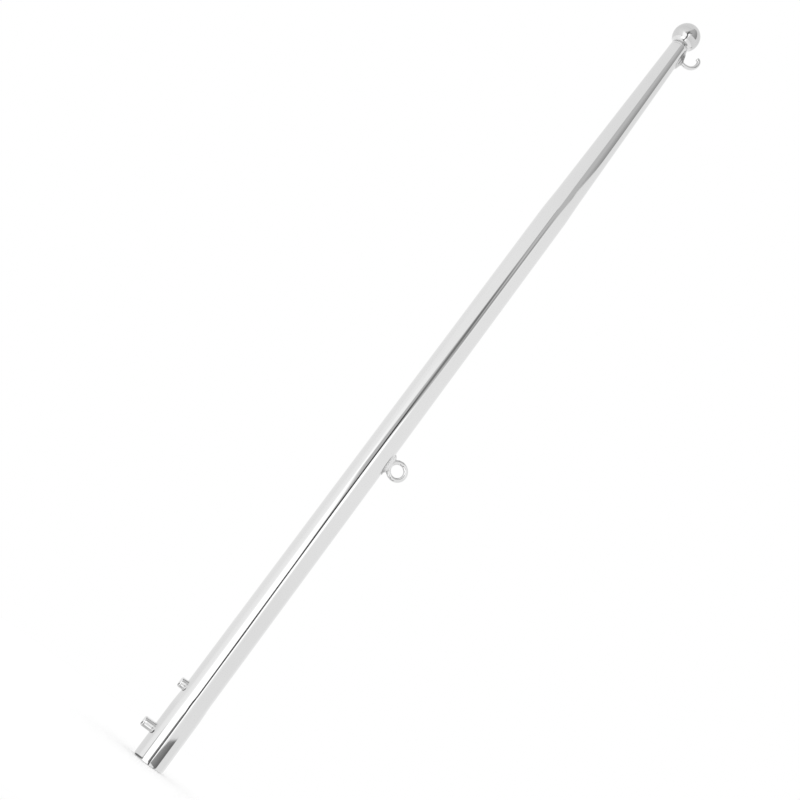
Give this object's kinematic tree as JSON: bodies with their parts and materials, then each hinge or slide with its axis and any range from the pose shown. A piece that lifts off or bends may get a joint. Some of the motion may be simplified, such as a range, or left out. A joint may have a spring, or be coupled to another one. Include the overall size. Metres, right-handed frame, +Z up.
{
  "type": "boat flagstaff",
  "caption": "Straight polished stainless flagstaff with a tapered top, ball end, flag hook, halyard ring and locking pins on its foot.",
  "frame": {"origin": "centre of the foot's flat end face, on the staff's axis", "axes": "+Z up the staff to the ball, +X towards the halyard ring and the flag hook, -X towards the locking pins"},
  "size_m": [0.0512, 0.0254, 0.7784],
  "materials": {
    "polished_steel": "polished",
    "weld_steel": "satin"
  },
  "bodies": {
    "root": {"pole_tube": "polished_steel", "ball_finial": "polished_steel", "ball_weld": "weld_steel", "flag_hook": "polished_steel", "hook_weld": "weld_steel", "halyard_ring": "polished_steel", "ring_weld": "weld_steel", "lower_pin": "polished_steel", "upper_pin": "polished_steel"}
  },
  "joints": []
}
